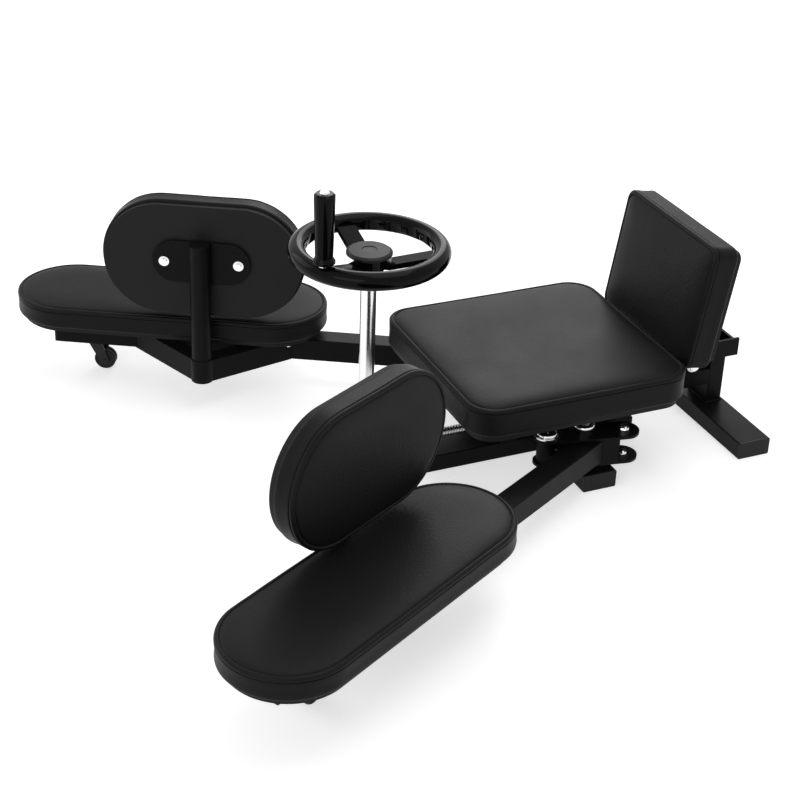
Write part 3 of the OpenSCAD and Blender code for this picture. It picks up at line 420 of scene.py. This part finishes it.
# Cushion boards
# Plywood, wrapped on the outside in the same black cloth that the covers
# are stapled under.
wrapped_board = finish("wrapped_board", (0.0085, 0.0085, 0.009), 0.6, dust=0.03, specular=0.18,
                       cells=350, crease=1.2, bump=0.3, depth=0.0004, edge=0.0015)
dress(wrapped_board, "seat_board", "backrest_board", *both_sides("side_board", "leg_board"))

# Seat cushion
# Firm foam on plywood, wrapped in black leatherette: a top panel and a
# side band, sewn together in a welt just under the top edge.
SEAT_BOARD_TOP = 0.146
LONGEST_EDGE = 0.009
CROWN_ROWS, CROWN_REACH, CROWN_FROM = 14, 0.062, 0.0085
PUCKER, WAVE, SLACK = 0.0005, 0.0007, 0.0007

leatherette = finish("black_leatherette", (0.0065, 0.0065, 0.0068), 0.46, dust=0.012, variation=0.05, specular=0.1,
                     cells=620, crease=1.1, bump=0.5, depth=0.0004)


def upholstered(name, span, depth, corner, thick, crown, arc=14):
    """A pad on the XY plane: side band, sewn edge, top panel with a soft crown."""
    bpy.ops.object.select_all(action="DESELECT")
    bpy.ops.mesh.primitive_plane_add(size=1)
    pad = bpy.context.object
    pad.name = name
    bpy.ops.object.mode_set(mode="EDIT")
    bpy.ops.mesh.select_all(action="SELECT")
    bpy.ops.transform.resize(value=(span, depth, 1))
    bpy.ops.mesh.bevel(offset=min(corner, depth / 2 - 0.0002), segments=arc, affect="VERTICES")
    bpy.ops.mesh.remove_doubles(threshold=0.0006)
    bpy.ops.mesh.delete(type="ONLY_FACE")
    # the straight runs get points as close together as the corners have
    for _ in range(5):
        bm = bmesh.from_edit_mesh(pad.data)
        bpy.ops.mesh.select_all(action="DESELECT")
        longest = [e for e in bm.edges if e.calc_length() > LONGEST_EDGE]
        for e in longest:
            e.select_set(True)
        bmesh.update_edit_mesh(pad.data)
        if not longest:
            break
        bpy.ops.mesh.subdivide(number_cuts=1)
    bpy.ops.mesh.select_all(action="SELECT")
    bpy.ops.mesh.edge_face_add()
    # height and draw-in of each row of the cover: board, side band, stitched
    # groove, welt, edge of the top panel, then the crown
    rows = [(0.0, 0.0032), (0.0007, 0.0014), (0.0022, 0.0003), (0.005, 0.0),
            (thick * 0.32, 0.0006), (thick * 0.55, 0.0007),
            (thick - 0.0095, 0.0002), (thick - 0.0082, 0.0003), (thick - 0.0076, 0.0010), (thick - 0.0071, 0.0027),
            (thick - 0.0065, 0.0008), (thick - 0.0056, 0.0001), (thick - 0.0045, 0.0), (thick - 0.003, 0.0003),
            (thick - 0.0016, 0.0011), (thick - 0.0006, 0.0024), (thick - 0.0001, 0.004), (thick - 0.0001, 0.0052),
            (thick - 0.0010, 0.0061), (thick - 0.0024, 0.0067), (thick - 0.0009, 0.0074),
            (thick - 0.0001, CROWN_FROM)]
    for step in range(1, CROWN_ROWS + 1):
        share = step / CROWN_ROWS
        rows.append((thick + crown * (1 - (1 - share) ** 2.6), CROWN_FROM + (CROWN_REACH - CROWN_FROM) * share ** 1.2))
    height, pull = 0.0, 0.0
    for row, (new_height, new_pull) in enumerate(rows):
        if row:
            bpy.ops.mesh.extrude_region_move(TRANSFORM_OT_translate={"value": (0, 0, new_height - height)})
        narrower = (span - 2 * new_pull) / (span - 2 * pull)
        shallower = (depth - 2 * new_pull) / (depth - 2 * pull)
        bpy.ops.transform.resize(value=(narrower, shallower, 1), center_override=(0, 0, 0))
        height, pull = new_height, new_pull
    bpy.ops.mesh.select_all(action="SELECT")
    bpy.ops.mesh.normals_make_consistent(inside=False)
    bpy.ops.object.mode_set(mode="OBJECT")
    # the cover gives a little between the stitches and lies in slow waves
    for v in pad.data.vertices:
        x, y, z = v.co
        seam = max(0.0, 1 - abs(z - thick + 0.006) / 0.011)
        side = 1.0 if z < thick - 0.0003 else 0.0
        out = Vector((x / span, y / depth, 0)).normalized()
        pucker = noise.noise(Vector((x * 60, y * 60, z * 20))) * PUCKER * seam * side
        wave = noise.noise(Vector((x * 10 + 3, y * 10, z * 9))) * WAVE * side
        slack = noise.noise(Vector((x * 9, y * 9 + 5, 1.0))) * SLACK
        fade = min(1.0, max(0.0, (z - thick) / (crown * 0.5)), max(0.0, (thick + crown - z) / (crown * 0.3)))
        v.co = (x + out.x * (pucker + wave), y + out.y * (pucker + wave), z + slack * fade)
    bpy.ops.object.shade_smooth()
    return pad


def settle(piece, place, body, *stands_for):
    """Moves a finished piece to its place in its own mesh, and hangs it on its body."""
    piece.data.transform(place)
    if place.determinant() < 0:
        piece.data.flip_normals()
    piece.data.update()
    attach(piece, body)
    if stands_for:
        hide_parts(*stands_for)


seat_pad = upholstered("seat_pad", span=0.381, depth=0.388, corner=0.046, thick=0.047, crown=0.005)
seat_pad.data.materials.append(leatherette)
settle(seat_pad, Matrix.Translation((0, -0.043, SEAT_BOARD_TOP)), "base", "seat_cushion")

# Backrest cushion
# The same build as the seat's, smaller, screwed to the leaning strut.
BACK_LEAN = 9
back_place = Matrix.Translation((0, 0.248, 0.114)) @ turned(-BACK_LEAN, "X")
back_pad = upholstered("back_pad", span=0.281, depth=0.214, corner=0.018, thick=0.044, crown=0.004)
back_pad.data.materials.append(leatherette)
settle(back_pad, back_place @ Matrix.Translation((0, -0.048, 0.147)) @ turned(90, "X"), "backrest", "backrest_cushion")

# Leg and side cushions
# Long pads with round ends: one flat under each calf, one upright against
# the inside of each leg.
PIVOT = (0.134, -0.015, 0)
ARM_OPEN = 29.3
LEG_PAD_AT = (0.036, -0.6, 0.114)
SIDE_PAD_AT = (-0.062, -0.523, 0.266)
arm_place = Matrix.Translation(PIVOT) @ turned(ARM_OPEN, "Z")
SIDES = (("left", Matrix.Identity(4)), ("right", Matrix.Diagonal((-1, 1, 1, 1))))
for side, flip in SIDES:
    leg_pad = upholstered("leg_pad_" + side, span=0.548, depth=0.192, corner=0.096, thick=0.036, crown=0.004, arc=22)
    leg_pad.data.materials.append(leatherette)
    settle(leg_pad, flip @ arm_place @ Matrix.Translation(LEG_PAD_AT) @ turned(90, "Z"),
           "arm_" + side, "leg_cushion_" + side)
    side_pad = upholstered("side_pad_" + side, span=0.344, depth=0.206, corner=0.103, thick=0.034, crown=0.004, arc=22)
    side_pad.data.materials.append(leatherette)
    settle(side_pad, flip @ arm_place @ Matrix.Translation(SIDE_PAD_AT) @ turned(90, "Z") @ turned(90, "X"),
           "arm_" + side, "side_cushion_" + side)

# Casters
# Twin hard tyres on one centre, a pair under the outer end of each arm,
# turning on the axle of a swivelling nylon fork.
CASTER_AT = (0.025, -0.723, 0.019)
AXLE = 0.00308
TYRE_OUTLINE = [
    (AXLE, -0.01), (0.0085, -0.01), (0.0095, -0.0085), (0.0145, -0.0085), (0.0155, -0.0098), (0.0178, -0.0092),
    (0.0189, -0.0072), (0.0189, -0.0035), (0.0178, -0.0016), (0.0145, -0.0011), (0.0135, 0.0), (0.0145, 0.0011),
    (0.0178, 0.0016), (0.0189, 0.0035), (0.0189, 0.0072), (0.0178, 0.0092), (0.0155, 0.0098), (0.0145, 0.0085),
    (0.0095, 0.0085), (0.0085, 0.01), (AXLE, 0.01), (AXLE, -0.01)]
caster_nylon = finish("caster_nylon", (0.010, 0.010, 0.011), 0.42, dust=0.06, specular=0.25, cells=1200, bump=0.1)
caster_rubber = finish("caster_rubber", (0.012, 0.012, 0.012), 0.62, dust=0.1, specular=0.25, cells=1200, bump=0.2)
dress(caster_nylon, *both_sides("caster_fork"))
for side, flip in SIDES:
    tyre = wound("caster_tyre_" + side, TYRE_OUTLINE, steps=64)
    tyre.data.materials.append(caster_rubber)
    settle(tyre, flip @ arm_place @ Matrix.Translation(CASTER_AT) @ turned(90, "Y"),
           "caster_wheel_" + side, "caster_wheel_" + side)

# Cup washers
# Domed, polished washers under the heads of the pivot bolts and of the
# links' bolts; they catch the light under the edge of the seat.
FORK_ANGLE = -40.3
PIVOT_CUP_AT = (PIVOT[0], PIVOT[1], 0.0993)
LINK_CUP_AT = (0.018, -0.068, 0.1015)
PIVOT_CUP = [(0.0124, 0.0032), (0.0162, 0.0032), (0.0162, 0.0003), (0.0171, 0.0003), (0.0176, 0.0010), (0.0176, 0.0024),
             (0.0171, 0.0042), (0.0160, 0.0058), (0.0145, 0.0069), (0.0124, 0.0076), (0.0124, 0.0032)]
LINK_CUP = [(0.0094, 0.0002), (0.0160, 0.0002), (0.0167, 0.0008), (0.0168, 0.0020), (0.0163, 0.0036),
            (0.0152, 0.0050), (0.0136, 0.0060), (0.0115, 0.0066), (0.0094, 0.0067), (0.0094, 0.0002)]
for side, flip in SIDES:
    pivot_cup = wound("pivot_cup_" + side, PIVOT_CUP, steps=64)
    pivot_cup.data.materials.append(bright_plate)
    settle(pivot_cup, flip @ Matrix.Translation(PIVOT_CUP_AT), "base")
    link_cup = wound("link_cup_" + side, LINK_CUP, steps=64)
    link_cup.data.materials.append(bright_plate)
    settle(link_cup, flip @ arm_place @ turned(FORK_ANGLE, "Z") @ Matrix.Translation(LINK_CUP_AT), "arm_" + side)

# Weld beads
# The fillets a welder left where tube meets tube: round the rear post,
# round the foot of each side post, and at the ends of the bent frames.
BEAD_STEP = 0.0011
POST_HALF, POST_NEAR, POST_FAR, FOOT_TOP = 0.030, 0.289, 0.319, 0.0302
SIDE_POST_X, PADS_MIDDLE, SIDE_POST_R, POST_STEPS = -0.0925, -0.523, 0.0172, 40
ARM_FACE, ARM_UNDER, ARM_TOP = 0.0046, 0.057, 0.0942
BAND_INSIDE, BAND_OUTSIDE = 0.0945, 0.1385


def weld(name, path, body, closed=False, radius=0.0021):
    """A rippled bead along a line of points."""
    corners = [Vector(p) for p in path] + ([Vector(path[0])] if closed else [])
    points = []
    for start, end in zip(corners, corners[1:]):
        count = max(1, round((end - start).length / BEAD_STEP))
        points += [start.lerp(end, i / count) for i in range(count)]
    if not closed:
        points.append(corners[-1])
    line = bpy.data.curves.new(name, "CURVE")
    line.dimensions = "3D"
    line.bevel_depth = radius
    line.bevel_resolution = 2
    line.use_fill_caps = True
    run = line.splines.new("POLY")
    run.points.add(len(points) - 1)
    run.use_cyclic_u = closed
    for i, p in enumerate(points):
        run.points[i].co = (*p, 1)
        run.points[i].radius = 1 + 0.13 * math.sin(i * 2.1) + 0.25 * noise.noise(p * 260)
    bead = bpy.data.objects.new(name, line)
    bpy.context.scene.collection.objects.link(bead)
    bpy.ops.object.select_all(action="DESELECT")
    bead.select_set(True)
    bpy.context.view_layer.objects.active = bead
    bpy.ops.object.convert(target="MESH")
    bead = bpy.context.object
    bpy.ops.object.shade_smooth()
    bead.data.materials.append(powder_coat)
    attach(bead, body)


weld("rear_post_weld", [(-POST_HALF, POST_NEAR, FOOT_TOP), (POST_HALF, POST_NEAR, FOOT_TOP),
                        (POST_HALF, POST_FAR, FOOT_TOP), (-POST_HALF, POST_FAR, FOOT_TOP)], "base", closed=True)
for side, flip in SIDES:
    there = flip @ arm_place
    ring = [there @ Vector((SIDE_POST_X + SIDE_POST_R * math.cos(a), PADS_MIDDLE + SIDE_POST_R * math.sin(a), ARM_TOP))
            for a in (2 * math.pi * i / POST_STEPS for i in range(POST_STEPS))]
    weld("post_weld_" + side, ring, "arm_" + side, closed=True)
    for end, sign in (("outer", -1), ("inner", 1)):
        inside, outside = PADS_MIDDLE + sign * BAND_INSIDE, PADS_MIDDLE + sign * BAND_OUTSIDE
        hoop = [there @ Vector((ARM_FACE, y, z)) for y, z in (
            (inside, ARM_UNDER), (inside, ARM_TOP), (outside, ARM_TOP), (outside, ARM_UNDER))]
        weld("frame_weld_%s_%s" % (end, side), hoop, "arm_" + side, radius=0.0018)

low, high = cad_box
